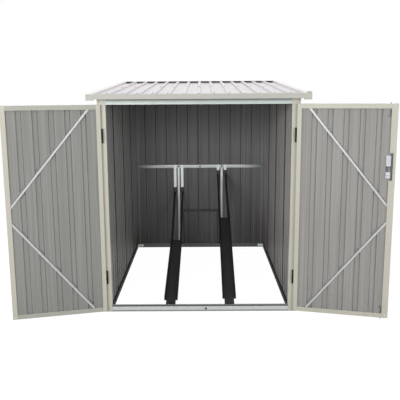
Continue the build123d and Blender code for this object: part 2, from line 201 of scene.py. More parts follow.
# A dark sheet of painted shade in the lock's notch: its middle and size
LOCK_SHADE_SHEET_PLACE = (0.0315, -0.0318, LOCK_MIDDLE)
LOCK_SHADE_SHEET_SIZE = (0.018, 0.0012, 0.192)
HOOK_PLACE = (LOCK_PLACE + 0.006, DOOR_INNER - 0.001, 1.121)
HOOK_TILT = 0.3
HOOK_ARM = (0.005, 0.005, 0.030)
HOOK_TOE = (0.016, 0.005, 0.005)
HOOK_TOE_STEP = (-0.008, 0, 0.010)
GUIDE_PLACE = (0.055, DOOR_INNER - 0.0048)
GUIDE_HEIGHTS = (1.494, 0.099)
GUIDE_PLATE = (0.026, 0.0016, 0.014)
GUIDE_BLOCK = (0.010, 0.009, 0.012)
GUIDE_BLOCK_STEP = (0, 0.001, 0)
KEY_BAR = (0.0016, 0.0075, 0.0008)

# Hexagonal heads: width across the flats, height and washer radius. Round heads: radius and height
WALL_SCREW = (0.008, 0.0045, 0.0066)
RAIL_SCREW = (0.007, 0.004, 0.0055)
ROOF_SCREW = (0.0085, 0.005, 0.0085)
RACK_BOLT = (0.010, 0.005, 0.0085)
TRIM_RIVET = (0.0036, 0.0015)
DOOR_RIVET = (0.0034, 0.0013)
HINGE_SCREW = (0.0036, 0.0012)
LOCK_SCREW = (0.0034, 0.0014)

# Where the fasteners are: their rows and heights, and how far they stand in from an edge
BASE_SCREW_HEIGHT = 0.030
INNER_SCREW_HEIGHT = 0.034
TOP_SCREW_DROP = 0.020
POST_SCREW_HEIGHTS = (0.12, 0.55, 0.98, 1.41)
CORNER_SCREW_INSET = 0.014
POST_SCREW_INSET = 0.017
ROOF_SCREW_ROWS = (0.075, 0.94, 1.93)
TRIM_RIVET_ROW = [0.06 + 0.32 * index for index in range(7)]
TRIM_RIVET_INSET = 0.022
CAP_RIVET = (ROOF_EDGE - 0.029, -0.0017)
CAP_RIVET_LEVELS = (0.008, -0.018)
END_RIVET_ROWS = (ROOF_LENGTH - 0.018, 0.013)
RAMP_BOLT_ROW = (1.165, 1.187)
RAMP_BOLT_LEVEL = 0.015
RAMP_FOOT_BOLT = (0.022, RAMP_ROOT[0] - 0.006, RAMP_ROOT[1] + 0.002)
FOOT_BOLT_INSET = 0.012
HINGE_SCREW_ROW = [height + step for height in HINGE_HEIGHTS for step in (-0.04, 0, 0.04)]
POST_HINGE_SCREW = (OPENING_EDGE + 0.0125, -0.0172)
EDGE_HINGE_SCREW = (HINGE_EDGE + 0.0022, -0.041)
BRACE_RIVET_INSETS = (0.010, 0.014)
LOCK_SCREW_PLACES = ((LOCK_PLACE - 0.009, 1.148), (LOCK_PLACE + 0.009, 1.210), (LOCK_PLACE, 1.062))
HANDLE_SCREW_STEP = 0.054
CYLINDER_HEIGHTS = {"outside": LOCK_MIDDLE - 0.032, "inside": 1.082}

# Painted shade inside the walls: up to which height, and how strong
REAR_PAINTED_SHADE = (1.10, 0.66)
SIDE_PAINTED_SHADE = (0.70, 0.62)

# Places where a finish changes, from the start of the change to its end, and the keep's middle on the sill
KEEP_PLACE = (0.045, 0.0235)
KEEP_RIM = (0.0075, 0.0105)
SILL_FRONT = (-0.010, -0.003)
SILL_FOLD = (0.0385, 0.0415)
SILL_LOWER_BAND = (0.0105, 0.0125)
GIRT_MIDDLE = (0.883, 0.889)
GIRT_ENDS = (0.42, 0.68)
HEADER_LIP = (1.584, 1.588)
HEADER_TOP = (1.595, 1.610)
RACK_POST_FOOT = (0.30, 0.80)
# Painted shade on the roof's flats before the rear trim
REAR_TRIM_SHADE = (1.845, 1.905)
HINGE_BARREL = (0.0066, 0.0074)


# Shader arithmetic and materials in the making

class Reading:
    """A shader value that changes over a surface. Arithmetic on it adds Math nodes."""

    def __init__(self, shading, socket):
        self.shading = shading
        self.socket = socket

    def maths(self, operation, *values):
        return self.shading.node("ShaderNodeMath", {"operation": operation}, values)

    def __add__(self, other):
        return self.maths("ADD", self, other)

    def __radd__(self, other):
        return self.maths("ADD", other, self)

    def __sub__(self, other):
        return self.maths("SUBTRACT", self, other)

    def __rsub__(self, other):
        return self.maths("SUBTRACT", other, self)

    def __mul__(self, other):
        return self.maths("MULTIPLY", self, other)

    def __rmul__(self, other):
        return self.maths("MULTIPLY", other, self)

    def __gt__(self, other):
        return self.maths("GREATER_THAN", self, other)

    def __abs__(self):
        return self.maths("ABSOLUTE", self)

    def root(self):
        return self.maths("SQRT", self)

    def larger(self, other):
        return self.maths("MAXIMUM", self, other)

    def smaller(self, other):
        return self.maths("MINIMUM", self, other)

    def folded(self, half):
        """Distance to the nearest multiple of twice the half."""
        return self.maths("PINGPONG", self, half)


class Shading:
    """A node tree and the ways to add to it."""

    def __init__(self, tree):
        self.tree = tree

    def node(self, kind, settings, values, output=0):
        """Adds a node: its settings first, then its sockets' values or links. Returns one output."""
        made = self.tree.nodes.new(kind)
        for setting, value in settings.items():
            if setting == "stops":
                self.set_stops(made.color_ramp, value)
            else:
                setattr(made, setting, value)
        pairs = values.items() if isinstance(values, dict) else enumerate(values)
        for key, value in pairs:
            self.join(value, made.inputs[key])
        return Reading(self, made.outputs[output])

    def set_stops(self, ramp, stops):
        while len(ramp.elements) < len(stops):
            ramp.elements.new(1)
        for element, (position, flank_shade_and_highlight) in zip(ramp.elements, stops):
            element.position = position
            element.color = (flank_shade_and_highlight, flank_shade_and_highlight, flank_shade_and_highlight, 1)

    def join(self, value, socket):
        if isinstance(value, Reading):
            self.tree.links.new(value.socket, socket)
        elif isinstance(value, tuple) and len(value) == 3 and len(socket.default_value) == 4:
            socket.default_value = (*value, 1)
        else:
            socket.default_value = value

    def plain_view(self):
        """1 for rays that show what they meet as it is: in view, mirrored or through glass."""
        kinds = ("Is Camera Ray", "Is Glossy Ray", "Is Transmission Ray")
        seen, mirrored, through = [self.node("ShaderNodeLightPath", {}, {}, kind) for kind in kinds]
        return seen.larger(mirrored).larger(through)


class Finish(Shading):
    """A material in the making: one Principled shader and the nodes that feed it."""

    def __init__(self, name, **shader_values):
        self.material = bpy.data.materials.new(name)
        self.material.use_nodes = True
        super().__init__(self.material.node_tree)
        self.shader = self.tree.nodes["Principled BSDF"]
        self.feed(**shader_values)
        self.place = self.node("ShaderNodeTexCoord", {}, {}, "Object")

    def feed(self, **shader_values):
        """Sets or links sockets of the shader; base_color stands for Base Color."""
        for name, value in shader_values.items():
            self.join(value, self.shader.inputs[name.replace("_", " ").title().replace("Ior", "IOR")])

    def stretched(self, scale):
        """Object coordinates, scaled along each axis."""
        return self.node("ShaderNodeMapping", {}, {"Vector": self.place, "Scale": scale})

    def dot(self, vector, direction):
        settings = {"operation": "DOT_PRODUCT"}
        return self.node("ShaderNodeVectorMath", settings, [vector, direction], "Value")

    def along(self, direction):
        """How far a point lies along a direction, in metres."""
        return self.dot(self.place, direction)

    def facing(self, direction):
        """How far a surface faces a direction of the object's own, from -1 to 1."""
        normal = self.node("ShaderNodeTexCoord", {}, {}, "Normal")
        return self.dot(normal, direction)

    def noise(self, scale, detail=3, where=None, roughness=0.5):
        values = {"Vector": where or self.place, "Scale": scale, "Detail": detail, "Roughness": roughness}
        return self.node("ShaderNodeTexNoise", {}, values)

    def ramp(self, value, *stops):
        """Shades a value through (position, shade) stops."""
        return self.node("ShaderNodeValToRGB", {"stops": stops}, [value])

    def rise(self, value, start, end):
        """0 up to the start, 1 from the end on."""
        return self.node("ShaderNodeMapRange", {}, {0: value, 1: start, 2: end})

    def band(self, value, low, high, soft):
        """1 between two limits, with soft edges outside them."""
        return self.rise(value, low - soft, low) * (1 - self.rise(value, high, high + soft))

    def spread(self, value, low, high):
        """Maps 0..1 to low..high."""
        return value * (high - low) + low

    def blend(self, factor, first, second):
        return self.node("ShaderNodeMix", {"data_type": "RGBA"}, {0: factor, 6: first, 7: second}, 2)

    def clouded(self, factor, colour, low, high):
        """One colour that goes from a darker to a lighter share of itself."""
        return self.blend(factor, shaded(colour, low), shaded(colour, high))

    def bump(self, height, distance, strength):
        values = {"Height": height, "Distance": distance, "Strength": strength}
        self.feed(normal=self.node("ShaderNodeBump", {}, values))


# Finishes

def shaded(colour, share):
    """A share of a colour's brightness."""
    return tuple(part * share for part in colour)


def soiling(finish, reach):
    """Dirt that rain splashes up from the ground, up to a height."""
    low = 1 - finish.rise(finish.along(UP), 0.0, reach)
    return low * finish.ramp(finish.noise(26, 5, roughness=0.65), (0.35, 0), (0.7, 1))


def painted(name, colour, roughness, inward=None, inner=None):
    """Baked paint on folded steel: fine orange peel, faint clouding and a little dirt near the ground.

    Faces that look inward have the inner colour, where one is given.
    """
    finish = Finish(name, metallic=0.0, specular_ior_level=0.5)
    cloud = finish.noise(2.5, 4)
    rubbed = finish.ramp(finish.noise(22, 6, roughness=0.7), (0.56, 0), (0.8, 1))
    dirt = soiling(finish, 0.16)
    tone = finish.clouded(cloud, colour, 0.96, 1.04)
    if inward:
        tone = finish.blend(finish.facing(inward) > -0.3, tone, finish.clouded(cloud, inner, 0.96, 1.04))
    tone = finish.blend(rubbed * 0.14, tone, shaded(colour, 0.72))
    tone = finish.blend(dirt * 0.22, tone, SOIL)
    gloss = finish.spread(cloud, roughness - 0.04, roughness + 0.06)
    finish.feed(base_color=tone, roughness=gloss + dirt * 0.2)
    finish.bump(finish.noise(900, 2), 0.00015, 0.35)
    return finish.material


def rear_trim_finish():
    """Trim paint outside, and painted shade on the inner side that faces the openings between the ribs and on
    faces that look down.
    """
    finish = Finish("rear_trim_paint", metallic=0.0, specular_ior_level=0.5)
    cloud = finish.noise(2.5, 4)
    painted_shade = finish.facing(FORWARD).larger(finish.facing(DOWN)) > 0.5
    tone = finish.blend(painted_shade * 0.9, finish.clouded(cloud, TRIM_COAT, 0.96, 1.04), FOLD_SHADE)
    finish.feed(base_color=tone, roughness=finish.spread(cloud, 0.30, 0.40))
    finish.bump(finish.noise(900, 2), 0.00015, 0.35)
    return finish.material


def hinge_finish(place):
    """Cream paint on the hinge plates, with bare dark barrels about the upright pins."""
    finish = Finish("hinge_finish", metallic=0.0, specular_ior_level=0.12)
    across = abs(finish.along(ACROSS)) - place[0]
    deep = finish.along(REARWARD) - place[1]
    barrel = 1 - finish.rise((across * across + deep * deep).root(), *HINGE_BARREL)
    cloud = finish.noise(30, 4)
    worn = finish.ramp(finish.noise(140, 5, roughness=0.7), (0.5, 0), (0.75, 1))
    paint = finish.clouded(cloud, CREAM_PAINT, 0.94, 1.04)
    metal = finish.blend(worn * 0.3, HINGE_BLACK, HINGE_WEAR)
    finish.feed(base_color=finish.blend(barrel, paint, metal), roughness=finish.spread(cloud, 0.34, 0.46))
    finish.bump(finish.noise(700, 2), 0.00015, 0.35)
    return finish.material


def coated_sheet(
    name, coat, backing, inward, across, middle, ribs, folds, laps=(), lap_shade=0.0, painted_shade=None
):
    """Coated ribbed sheet: grey backing coat on the side that faces inward, its own coat on the other.

    The ribs lie across a direction, about a middle one. The folds say how strongly painted shade darkens the
    flanks inside, those that face against the direction first, and outside; below zero a flank gets a painted
    highlight instead.
    Where two sheets lap there is a dark joint line; inside, the lap's shade widens it into painted shade over
    the groove.
    A painted shade, where one is given, says how far the sheet is darkened, from 0 to 1.
    """
    pitch, foot, crest = ribs
    against, toward, outside = folds
    finish = Finish(name, metallic=0.0, specular_ior_level=0.18, coat_roughness=0.16)
    inside = finish.facing(inward) > 0.0
    reach = finish.along(across) - middle
    fold = reach.folded(pitch / 2)
    flank = finish.band(fold, crest / 2, foot / 2, 0.003)
    turn = finish.spread(finish.facing(across) > 0.0, against, toward)
    flank_shade_and_highlight = flank * ((turn - outside) * inside + outside)

    cloud = finish.noise(2.2, 4)
    streaks = finish.ramp(finish.noise(1.0, 5, finish.stretched((75, 24, 0.9)), 0.6), (0.35, 0), (0.65, 1))
    dust = finish.ramp(finish.noise(9, 6, roughness=0.65), (0.5, 0), (0.8, 1))
    dirt = soiling(finish, 0.3)
    tone = finish.blend(
        inside, finish.clouded(cloud, coat, 0.97, 1.03), finish.clouded(cloud, backing, 0.95, 1.05)
    )
    tone = finish.blend(streaks * 0.36 * inside + dust * 0.06, tone, shaded(backing, 0.45))
    tone = finish.blend(dirt * 0.25, tone, SOIL)
    # Painted shade, where the sheet has one
    if painted_shade:
        tone = finish.blend(painted_shade(finish, inside, fold), tone, PAINTED_SHADE_TONE)
    # Painted shade on the ribs' flanks, and a painted highlight where a fold's value is below zero
    tone = finish.blend(flank_shade_and_highlight, tone, FOLD_SHADE)
    tone = finish.blend(flank_shade_and_highlight * -1.0, tone, shaded(backing, 2.3))
    # A dark joint line where sheets lap, widened inside by painted shade over the groove
    if laps:
        nearest = functools.reduce(Reading.smaller, [abs(reach - lap) for lap in laps])
        line = 1 - finish.rise(nearest - inside * lap_shade, 0.003, 0.008)
        tone = finish.blend(line * 0.88, tone, shaded(FOLD_SHADE, 0.45))
    finish.feed(
        base_color=tone,
        roughness=finish.spread(cloud, 0.32, 0.42) + streaks * 0.08 + dirt * 0.15 + inside * 0.1,
        coat_weight=(1 - inside) * 0.3,
    )
    pencil_lines = finish.rise(reach.folded(pitch / 10), 0.0, pitch / 10)
    finish.bump(pencil_lines * 0.5 + finish.noise(60, 3) * 0.7 + finish.noise(1100, 1) * 0.12, 0.0005, 0.35)
    return finish.material


def wall_painted_shade(top, strength):
    """Makes a wall's painted shade: inside it gets darker from a height down to the ground."""
    return lambda finish, inside, fold: (1 - finish.rise(finish.along(UP), 0.05, top)) * inside * strength


def roof_painted_shade(finish, inside, fold):
    """Painted shade on the flats before the rear trim, on both sides of the sheet."""
    foot = ROOF_RIBS[1] / 2
    flat = finish.rise(fold, foot, foot + 0.002)
    return finish.rise(finish.along(REARWARD), *REAR_TRIM_SHADE) * flat * 0.95


def galvanised(name, colour, roughness, metal=0.76, shade_mask=None, dull=DULL_ZINC, gloss=0.5):
    """Zinc-dipped steel with its spangle. The shade mask gives, from 0 to 1, where it takes the dull colour,
    mostly as painted shade.
    """
    finish = Finish(name, specular_ior_level=gloss)
    spangle = finish.node("ShaderNodeTexVoronoi", {}, {"Vector": finish.place, "Scale": 110}, "Color")
    grain = finish.node("ShaderNodeSeparateColor", {}, [spangle], 0)
    cloud = finish.noise(4, 4)
    bloom = finish.ramp(finish.noise(30, 6, roughness=0.7), (0.5, 0), (0.75, 1))
    tone = finish.clouded(grain, colour, 0.95, 1.04)
    tone = finish.blend(cloud * 0.2 + bloom * 0.12, tone, shaded(colour, 0.75))
    # The mask's dull colour is painted shade on the rails, girt, rack posts, header, sill and braces
    if shade_mask:
        tone = finish.blend(shade_mask(finish), tone, dull)
    finish.feed(
        base_color=tone,
        metallic=finish.spread(cloud, metal - 0.06, metal + 0.06) - bloom * metal * 0.25,
        roughness=finish.spread(grain, roughness - 0.04, roughness + 0.05) + bloom * 0.1,
    )
    finish.bump(grain * 0.6 + finish.noise(400, 2) * 0.4, 0.00008, 0.3)
    return finish.material


def sill_painted_shade(finish):
    """Painted shade: a dark line along the sill's upper fold and a duller lower band. The front face is a
    little darker, and the keep darker round its middle.
    """
    height = finish.along(UP)
    front = 1 - finish.rise(finish.along(REARWARD), *SILL_FRONT)
    upper = finish.rise(height, *SILL_FOLD) * front
    lower = 1 - finish.rise(height, *SILL_LOWER_BAND)
    beside = finish.along(ACROSS) - KEEP_PLACE[0]
    above = height - KEEP_PLACE[1]
    rim = 1 - finish.rise((beside * beside + above * above).root(), *KEEP_RIM)
    return (upper * 0.92 + lower * 0.58 + front * 0.11).larger(rim * 0.95)


def girt_painted_shade(finish):
    """Painted light and shade on the girt: bright along its upper half, darker below and towards both ends.
    """
    below = 1 - finish.rise(finish.along(UP), *GIRT_MIDDLE)
    ends = finish.rise(abs(finish.along(ACROSS)), *GIRT_ENDS)
    return (below * 0.22).larger(ends * 0.9)


def outer_skin(finish, reach, face):
    """1 at an outer face, and 0 from about a millimetre below it."""
    return finish.rise(reach, face - 0.0012, face - 0.0004)


def side_rail_painted_shade(finish):
    """Painted shade on the side rails: near black inside, brighter on their outer faces."""
    return 1 - outer_skin(finish, abs(finish.along(ACROSS)), BODY_EDGE)


def rear_rail_painted_shade(finish):
    """Painted shade on the rear rail: dark inside, brighter on its outer face."""
    return 1 - outer_skin(finish, finish.along(REARWARD), REAR_FACE)


def header_painted_shadow(finish):
    """Painted shadow of the fascia: the header keeps a bright lower lip and gets darker towards the roof's
    edge.
    """
    height = finish.along(UP)
    return finish.rise(height, *HEADER_LIP) * 0.14 + finish.rise(height, *HEADER_TOP) * 0.55


def rack_post_painted_shade(finish):
    """The rack's posts get darker towards the ground: painted shade."""
    return (1 - finish.rise(finish.along(UP), *RACK_POST_FOOT)) * 0.72


class BraceFoldShade:
    """Painted shade in the upper fold of a door's two slanted braces, darkening their zinc."""

    def __init__(self, name):
        place = mirrored_door_place(SIDES[name])
        self.lines = []
        for start, end in brace_lines(name):
            step = (end - start).normalized()
            upward = Vector((-step.z, 0, step.x))
            normal = place.to_3x3() @ upward
            self.lines.append((tuple(normal), normal.dot(place @ start)))

    def __call__(self, finish):
        upper, lower = [finish.along(normal) - level for normal, level in self.lines]
        above = finish.along(UP) > BRACE_MIDDLE
        distance = lower + (upper - lower) * above
        return finish.rise(distance, 0.0015, 0.0045) * (1 - finish.rise(distance, 0.0095, 0.0100)) * 0.9


def dark_coat(name):
    """Dark powder coat with a faint bloom of dust and scuffs."""
    finish = Finish(name, metallic=0.0, specular_ior_level=0.45)
    dust = finish.ramp(finish.noise(7, 6, roughness=0.7), (0.45, 0), (0.75, 1))
    scuffs = finish.ramp(finish.noise(1.0, 5, finish.stretched((160, 12, 12)), 0.7), (0.55, 0), (0.8, 1))
    tone = finish.blend(dust * 0.25 + scuffs * 0.15, DARK_COAT, COAT_DUST)
    finish.feed(base_color=tone, roughness=finish.spread(dust, 0.36, 0.52))
    finish.bump(finish.noise(700, 2), 0.0002, 0.4)
    return finish.material


def lock_finish():
    """Brushed plate on the lock's two blocks, darkened in the gap between them and round their edges."""
    finish = Finish("lock_plate")
    height = finish.along(UP)
    low, high = LOCK_BLOCKS
    lower = finish.band(height, low[0] + 0.0015, low[1] - 0.002, 0.002)
    upper = finish.band(height, high[0] + 0.002, high[1] - 0.0015, 0.002)
    shine = lower.larger(upper)
    wear = finish.noise(60, 5, roughness=0.7)
    tone = finish.blend(shine, shaded(DULL_PLATING, 0.7), finish.clouded(wear, PLATING, 0.88, 1.12))
    finish.feed(base_color=tone, metallic=shine * 0.45, roughness=finish.spread(wear, 0.38, 0.52))
    finish.bump(finish.noise(1.0, 2, finish.stretched((300, 300, 2400))), 0.00005, 0.3)
    return finish.material


def plated(name, colour, roughness):
    """Bright plated hardware with fine scratches."""
    finish = Finish(name, metallic=1.0)
    wear = finish.noise(60, 5, roughness=0.7)
    tone = finish.clouded(wear, colour, 0.85, 1.1)
    finish.feed(base_color=tone, roughness=finish.spread(wear, roughness - 0.06, roughness + 0.1))
    finish.bump(finish.noise(1.0, 2, finish.stretched((300, 300, 2400))), 0.00005, 0.3)
    return finish.material


def rubber(name):
    """Matt black washer rubber."""
    finish = Finish(name, metallic=0.0, specular_ior_level=0.3)
    dust = finish.noise(40, 4)
    tone = finish.clouded(dust, WASHER_RUBBER, 0.7, 1.5)
    finish.feed(base_color=tone, roughness=finish.spread(dust, 0.6, 0.8))
    return finish.material


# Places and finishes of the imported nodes

def brace_lines(name):
    """Both ends of a door's upper and lower brace, as on a closed right-hand door."""
    inner_free = FREE_EDGE + FREE_STILES[name]
    inner_hinge = HINGE_EDGE - HINGE_STILE - BRACE_OFFSET
    corners = (DOOR_HIGH - DOOR_RAIL, DOOR_LOW + DOOR_RAIL)
    return [
        (Vector((inner_free, 0, foot)), Vector((inner_hinge, 0, corner)))
        for foot, corner in zip(BRACE_FEET, corners)
    ]


def dress(material, *names):
    """Gives CAD nodes their material."""
    for name in names:
        slots = nodes[name].data.materials
        slots.clear()
        slots.append(material)


def door_place(side):
    """Turns what is placed on a closed door to the open rest position; side is -1 left, 1 right."""
    joint = next(joint for joint in frame["joints"] if joint["pos_m"][0] * side > 0)
    pin = Matrix.Translation((joint["pos_m"][0], joint["pos_m"][1], 0))
    opened = math.radians(max(joint["range_deg"])) * side
    return pin @ Matrix.Rotation(opened, 4, "Z") @ pin.inverted()


def mirrored_door_place(side):
    """Takes what is placed on a closed right-hand door to the open door of a side."""
    return door_place(side) @ Matrix.Scale(side, 4, ACROSS)


def make_finishes():
    """The finishes that nodes and details share."""
    return {
        "cream": painted("cream_paint", CREAM_PAINT, 0.38),
        "fascia": painted("fascia_paint", FASCIA_PAINT, 0.38),
        "zinc": galvanised("bright_zinc", BRIGHT_ZINC, 0.36),
        "dark": dark_coat("dark_powder_coat"),
        "plate": plated("bright_plate", PLATING, 0.30),
        "dull": plated("dull_plate", DULL_PLATING, 0.45),
        "rubber": rubber("washer_rubber"),
        "shade_sheet": painted("lock_shade_sheet_coat", LOCK_SHADE_SHEET_COAT, 0.5),
    }


def paint_frame(finishes):
    """The posts, rails and trims of the body, the sill and the header."""
    dress(finishes["cream"], "front_post_left", "front_post_right", "rear_corner_posts")
    dress(finishes["fascia"], "front_fascia", "roof_end_caps")
    dress(painted("trim_paint", TRIM_COAT, 0.34), "roof_trim_left", "roof_trim_right")
    dress(rear_trim_finish(), "roof_trim_rear")
    dress(finishes["zinc"], "top_side_rails", "top_rear_rail")
    bracket_zinc = shaded(BRIGHT_ZINC, 1.2)
    dress(galvanised("bracket_zinc", bracket_zinc, roughness=0.45, metal=0.3), "base_corner_brackets")
    sill_zinc = shaded(BRIGHT_ZINC, 0.98)
    sill = galvanised("sill_zinc", sill_zinc, roughness=0.40, metal=0.30, shade_mask=sill_painted_shade)
    dress(sill, "front_sill")
    header = galvanised("header_zinc", HEADER_ZINC, roughness=0.48, metal=0.25, shade_mask=header_painted_shadow)
    dress(header, "header_rail")
    side_rails = galvanised(
        "side_rail_zinc", OUTER_ZINC, roughness=0.70, metal=0.10, shade_mask=side_rail_painted_shade, dull=SIDE_RAIL_SHADE,
        gloss=0.1,
    )
    dress(side_rails, "base_side_rails")
    # The rear rail's inner face in a darker zinc tone: painted shade
    rear_rail_shade = shaded(DULL_ZINC, 1.3)
    rear_rail = galvanised(
        "rear_rail_zinc", OUTER_ZINC, roughness=0.55, metal=0.45, shade_mask=rear_rail_painted_shade, dull=rear_rail_shade
    )
    dress(rear_rail, "base_rear_rail")


def paint_rack(finishes):
    """The girt, hangers and posts, and the dark ramps, guard bars and tie frame."""
    dress(finishes["zinc"], "ramp_hangers")
    dress(galvanised("foot_zinc", shaded(DULL_ZINC, 1.6), roughness=0.50, metal=0.5), "tie_feet")
    # A lighter copy of the bright zinc for the girt: painted light
    girt_lit_zinc = shaded(BRIGHT_ZINC, 1.4)
    girt = galvanised("girt_lit_zinc", girt_lit_zinc, roughness=0.42, metal=0.3, shade_mask=girt_painted_shade)
    dress(girt, "rear_girt")
    dress(galvanised("rack_post_zinc", BRIGHT_ZINC, roughness=0.36, shade_mask=rack_post_painted_shade), "rack_posts")
    dress(finishes["dark"], "bike_ramp_left", "bike_ramp_right", "ramp_guards", "tie_frame")


def paint_sheets():
    """The ribbed sheets of the roof, the rear wall and the side walls."""
    roof = coated_sheet(
        "roof_sheet", ROOF_COAT, REAR_BACKING, inward=DOWN, across=ACROSS, middle=0.0, ribs=ROOF_RIBS,
        folds=ROOF_FOLDS, painted_shade=roof_painted_shade,
    )
    dress(roof, "roof_sheet_left", "roof_sheet_right")
    rear = coated_sheet(
        "rear_wall_sheet", CREAM_SHEET, REAR_BACKING, inward=FORWARD, across=ACROSS, middle=0.0,
        ribs=WALL_RIBS, folds=REAR_FOLDS, laps=[REAR_LAP], painted_shade=wall_painted_shade(*REAR_PAINTED_SHADE),
    )
    dress(rear, "rear_wall_left", "rear_wall_right")
    laps = [SIDE_LAP + count * SHEET_COVER for count in (-1, 0, 1)]
    for name, side in SIDES.items():
        wall = coated_sheet(
            f"{name}_wall_sheet", CREAM_SHEET, WALL_BACKINGS_LIT_AND_SHADED[name], inward=(-side, 0.0, 0.0),
            across=REARWARD, middle=side_wall_middle(), ribs=WALL_RIBS, folds=SIDE_FOLDS, laps=laps,
            lap_shade=LAP_SHADE, painted_shade=wall_painted_shade(*SIDE_PAINTED_SHADE),
        )
        dress(wall, f"side_wall_{name}")


def paint_doors(finishes):
    """The doors with their sheets, braces, hinges and lock."""
    pin = frame["joints"][0]["pos_m"]
    hinges = hinge_finish((abs(pin[0]), pin[1]))
    dress(hinges, "frame_hinges", "door_left_hinges", "door_right_hinges")
    dress(lock_finish(), "door_right_lock_case")
    dress(finishes["plate"], "door_right_handle")
    dress(finishes["dull"], "door_right_bolts")
    inward = {name: tuple(door_place(side).to_3x3() @ Vector(REARWARD)) for name, side in SIDES.items()}
    # The left door's rails have painted shade on their inward faces
    rails = {
        "left": painted("left_rail_painted_shade", CREAM_PAINT, 0.38, inward["left"], CREAM_IN_PAINTED_SHADE),
        "right": finishes["cream"],
    }
    for name, side in SIDES.items():
        dress(finishes["cream"], f"door_{name}_hinge_stile", f"door_{name}_free_stile")
        dress(rails[name], f"door_{name}_rails")
        fold_shade = BraceFoldShade(name)
        braces = galvanised(f"{name}_brace_zinc", BRACE_ZINC, roughness=0.45, metal=0.3, shade_mask=fold_shade)
        dress(braces, f"door_{name}_braces")
        across = door_place(side).to_3x3() @ Vector(ACROSS)
        centre = door_place(side) @ Vector((side * (HINGE_EDGE + FREE_EDGE) / 2, 0, 0))
        panel = coated_sheet(
            f"{name}_door_sheet", CREAM_SHEET, DOOR_BACKINGS_LIT_AND_SHADED[name], inward=inward[name],
            across=tuple(across), middle=across.dot(centre), ribs=WALL_RIBS, folds=DOOR_FOLDS[name],
        )
        dress(panel, f"door_{name}_panel")


# Shapes of the small parts

def as_mesh(name, model):
    """Turns a model into a mesh and lets the model go."""
    mesh = bpy.data.meshes.new(name)
    model.to_mesh(mesh)
    model.free()
    return mesh


def as_object(name, mesh):
    made = bpy.data.objects.new(name, mesh)
    bpy.context.scene.collection.objects.link(made)
    return made


def add_piece(name, model, materials, body):
    """Finishes a model as one piece that rides on a body."""
    made = as_object(name, as_mesh(name, model))
    for material in materials:
        made.data.materials.append(material)
    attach(made, body)


def turned(model, profile, steps=12, material=0):
    """Spins a line of (radius, height) points once round the upright axis."""
    corners = [model.verts.new((radius, 0, height)) for radius, height in profile]
    edges = [model.edges.new(pair) for pair in zip(corners, corners[1:])]
    known = set(model.faces)
    bmesh.ops.spin(
        model, geom=corners + edges, cent=(0, 0, 0), axis=UP, angle=math.tau, steps=steps, use_merge=True
    )
    bmesh.ops.remove_doubles(model, verts=model.verts, dist=1e-6)
    made = [face for face in model.faces if face not in known]
    for face in made:
        face.material_index = material
        face.smooth = steps > 12
    bmesh.ops.recalc_face_normals(model, faces=made)


def raised(model, faces, height, share):
    """Draws faces up by a height and scales the new ones to a share."""
    drawn = bmesh.ops.extrude_face_region(model, geom=faces)["geom"]
    corners = [part for part in drawn if isinstance(part, bmesh.types.BMVert)]
    bmesh.ops.translate(model, vec=(0, 0, height), verts=corners)
    bmesh.ops.scale(model, vec=(share, share, 1), verts=corners)
    return [part for part in drawn if isinstance(part, bmesh.types.BMFace)]


def slab(model, place, size, corner, segments=2):
    """A plate with rounded edges, added to a model."""
    known = set(model.edges)
    matrix = place @ Matrix.Diagonal((*size, 1))
    bmesh.ops.create_cube(model, size=1, matrix=matrix)
    edges = [edge for edge in model.edges if edge not in known]
    bmesh.ops.bevel(
        model, geom=edges, offset=corner, offset_type="OFFSET", affect="EDGES", segments=segments,
        profile=0.5, material=-1,
    )


def hex_screw(across, height, washer):
    """A screw's hexagonal head with its top chamfered, on a sealing washer."""
    model = bmesh.new()
    turned(model, [(0, 0), (washer, 0), (washer * 0.94, 0.0014), (0, 0.0018)], 12, 1)
    seat = Matrix.Translation((0, 0, 0.0012))
    bmesh.ops.create_circle(model, cap_ends=True, segments=6, radius=across / math.sqrt(3), matrix=seat)
    hexagon = [face for face in model.faces if len(face.verts) == 6]
    top = raised(model, hexagon, height * 0.75, 1)
    raised(model, top, height * 0.25, 0.8)
    bmesh.ops.recalc_face_normals(model, faces=model.faces)
    return as_mesh("screw_shape", model)


def round_head(radius, height):
    """A low domed head, as of a rivet."""
    model = bmesh.new()
    profile = [(0, 0), (radius, 0), (radius * 0.93, height * 0.5), (radius * 0.6, height * 0.9), (0, height)]
    turned(model, profile, 10)
    return as_mesh("rivet_shape", model)


def lock_cylinder():
    """A lock's round cylinder with the cross bar that covers its key slot."""
    model = bmesh.new()
    turned(model, [(0, 0), (0.0085, 0), (0.0085, 0.003), (0.0075, 0.004), (0, 0.004)], 20)
    barrel = set(model.faces)
    slab(model, Matrix.Translation((0, 0, 0.0042)), KEY_BAR, corner=0.0002, segments=1)
    for face in set(model.faces) - barrel:
        face.material_index = 1
    return as_mesh("cylinder_shape", model)


def place_shapes(name, shape, spots, materials, body):
    """Puts one shape at each (place, direction), turned at random about its own axis, as one piece."""
    model = bmesh.new()
    for place, direction in spots:
        stand = direction.to_track_quat("Z", "Y").to_matrix().to_4x4()
        stand = Matrix.Translation(place) @ stand @ Matrix.Rotation(chance.uniform(0, math.tau), 4, "Z")
        before = len(model.verts)
        model.from_mesh(shape)
        model.verts.ensure_lookup_table()
        bmesh.ops.transform(model, matrix=stand, verts=model.verts[before:])
    add_piece(name, model, materials, body)


# Fasteners and the lock's small parts

def spot(x, y, z, direction):
    """A place for a shape, and the direction that the shape stands in."""
    return Vector((x, y, z)), Vector(direction)


def moved(spots, place):
    """The same spots, taken elsewhere by a matrix."""
    return [(place @ point, place.to_3x3() @ direction) for point, direction in spots]


def both_sides(spots):
    """The spots and their mirror images on the other side of the shelter."""
    return spots + moved(spots, Matrix.Scale(-1, 4, ACROSS))


